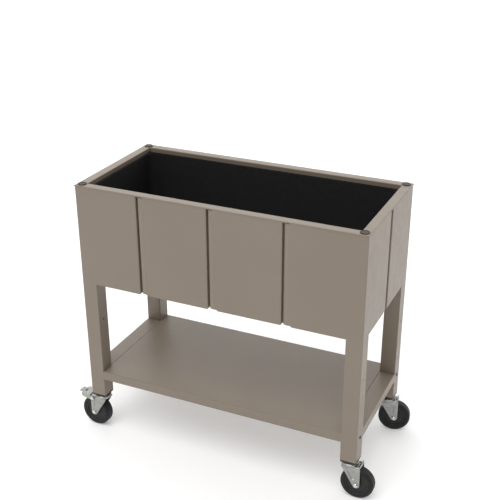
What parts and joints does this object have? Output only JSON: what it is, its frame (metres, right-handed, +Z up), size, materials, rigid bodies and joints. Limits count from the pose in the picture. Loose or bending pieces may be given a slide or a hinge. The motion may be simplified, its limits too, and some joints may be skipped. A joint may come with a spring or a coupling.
{
  "type": "rolling planter",
  "caption": "Raised sheet-steel trough planter on box legs with a lower shelf, a drop-in liner and swivel casters with foot brakes.",
  "frame": {"origin": "on the floor, under the middle of the trough", "axes": "+X along the trough to the right, -Y towards the front, +Z up"},
  "size_m": [1.0173, 0.4304, 0.8526],
  "materials": {
    "coated_steel": "satin taupe powder coat",
    "dark_plastic": "matt dark brown",
    "black_plastic": "matt black",
    "galvanised_steel": "galvanised",
    "zinc_steel": "bright zinc plate",
    "dark_steel": "dark coated screw heads",
    "wheel_plastic": "matt black",
    "tyre_rubber": "matt black rubber"
  },
  "bodies": {
    "frame": {"corner_front_left": "coated_steel", "corner_front_right": "coated_steel", "corner_back_right": "coated_steel", "corner_back_left": "coated_steel", "panel_front_left": "coated_steel", "panel_front_right": "coated_steel", "panel_back_right": "coated_steel", "panel_back_left": "coated_steel", "post_front_left": "coated_steel", "post_front_right": "coated_steel", "post_back_right": "coated_steel", "post_back_left": "coated_steel", "rim_front": "coated_steel", "rim_back": "coated_steel", "rim_left": "coated_steel", "rim_right": "coated_steel", "rim_brackets": "galvanised_steel", "corner_plugs": "dark_plastic", "seam_screws": "zinc_steel", "floor_rails": "galvanised_steel", "floor_pan": "galvanised_steel", "liner_tub": "black_plastic", "shelf_deck": "coated_steel", "shelf_rail_left": "coated_steel", "shelf_rail_right": "coated_steel", "shelf_stiffener": "coated_steel", "shelf_bolts": "dark_steel", "shelf_rail_bolts": "zinc_steel", "leg_end_caps": "dark_plastic", "stem_nuts": "zinc_steel", "swivel_balls": "zinc_steel", "caster_stem_front_left": "zinc_steel", "caster_stem_front_right": "zinc_steel", "caster_stem_back_right": "zinc_steel", "caster_stem_back_left": "zinc_steel"},
    "swivel_front_left": {"caster_fork_front_left": "zinc_steel", "axle_set_front_left": "zinc_steel"},
    "wheel_front_left": {"wheel_hub_front_left": "wheel_plastic", "wheel_tyre_front_left": "tyre_rubber"},
    "brake_front_left": {"brake_pedal_front_left": "zinc_steel"},
    "swivel_front_right": {"caster_fork_front_right": "zinc_steel", "axle_set_front_right": "zinc_steel"},
    "wheel_front_right": {"wheel_hub_front_right": "wheel_plastic", "wheel_tyre_front_right": "tyre_rubber"},
    "swivel_back_right": {"caster_fork_back_right": "zinc_steel", "axle_set_back_right": "zinc_steel"},
    "wheel_back_right": {"wheel_hub_back_right": "wheel_plastic", "wheel_tyre_back_right": "tyre_rubber"},
    "swivel_back_left": {"caster_fork_back_left": "zinc_steel", "axle_set_back_left": "zinc_steel"},
    "wheel_back_left": {"wheel_hub_back_left": "wheel_plastic", "wheel_tyre_back_left": "tyre_rubber"},
    "brake_back_left": {"brake_pedal_back_left": "zinc_steel"}
  },
  "joints": [
    {"name": "swivel_turn_front_left", "type": "hinge", "parent": "frame", "child": "swivel_front_left", "pos_m": [-0.4255, -0.185, 0.112], "axis": [0, 0, 1], "continuous": true},
    {"name": "wheel_spin_front_left", "type": "hinge", "parent": "swivel_front_left", "child": "wheel_front_left", "pos_m": [-0.45146, -0.18364, 0.051], "axis": [-0.0523, -0.9986, 0], "continuous": true},
    {"name": "brake_press_front_left", "type": "hinge", "parent": "swivel_front_left", "child": "brake_front_left", "pos_m": [-0.45546, -0.18343, 0.104], "axis": [-0.0523, -0.9986, 0], "range_deg": [-26, 0]},
    {"name": "swivel_turn_front_right", "type": "hinge", "parent": "frame", "child": "swivel_front_right", "pos_m": [0.4255, -0.185, 0.112], "axis": [0, 0, 1], "continuous": true},
    {"name": "wheel_spin_front_right", "type": "hinge", "parent": "swivel_front_right", "child": "wheel_front_right", "pos_m": [0.4515, -0.185, 0.051], "axis": [0, 1, 0], "continuous": true},
    {"name": "swivel_turn_back_right", "type": "hinge", "parent": "frame", "child": "swivel_back_right", "pos_m": [0.4255, 0.185, 0.112], "axis": [0, 0, 1], "continuous": true},
    {"name": "wheel_spin_back_right", "type": "hinge", "parent": "swivel_back_right", "child": "wheel_back_right", "pos_m": [0.45093, 0.19041, 0.051], "axis": [-0.2079, 0.9781, 0], "continuous": true},
    {"name": "swivel_turn_back_left", "type": "hinge", "parent": "frame", "child": "swivel_back_left", "pos_m": [-0.4255, 0.185, 0.112], "axis": [0, 0, 1], "continuous": true},
    {"name": "wheel_spin_back_left", "type": "hinge", "parent": "swivel_back_left", "child": "wheel_back_left", "pos_m": [-0.45148, 0.18591, 0.051], "axis": [-0.0349, -0.9994, 0], "continuous": true},
    {"name": "brake_press_back_left", "type": "hinge", "parent": "swivel_back_left", "child": "brake_back_left", "pos_m": [-0.45548, 0.18605, 0.104], "axis": [-0.0349, -0.9994, 0], "range_deg": [-26, 0]}
  ]
}
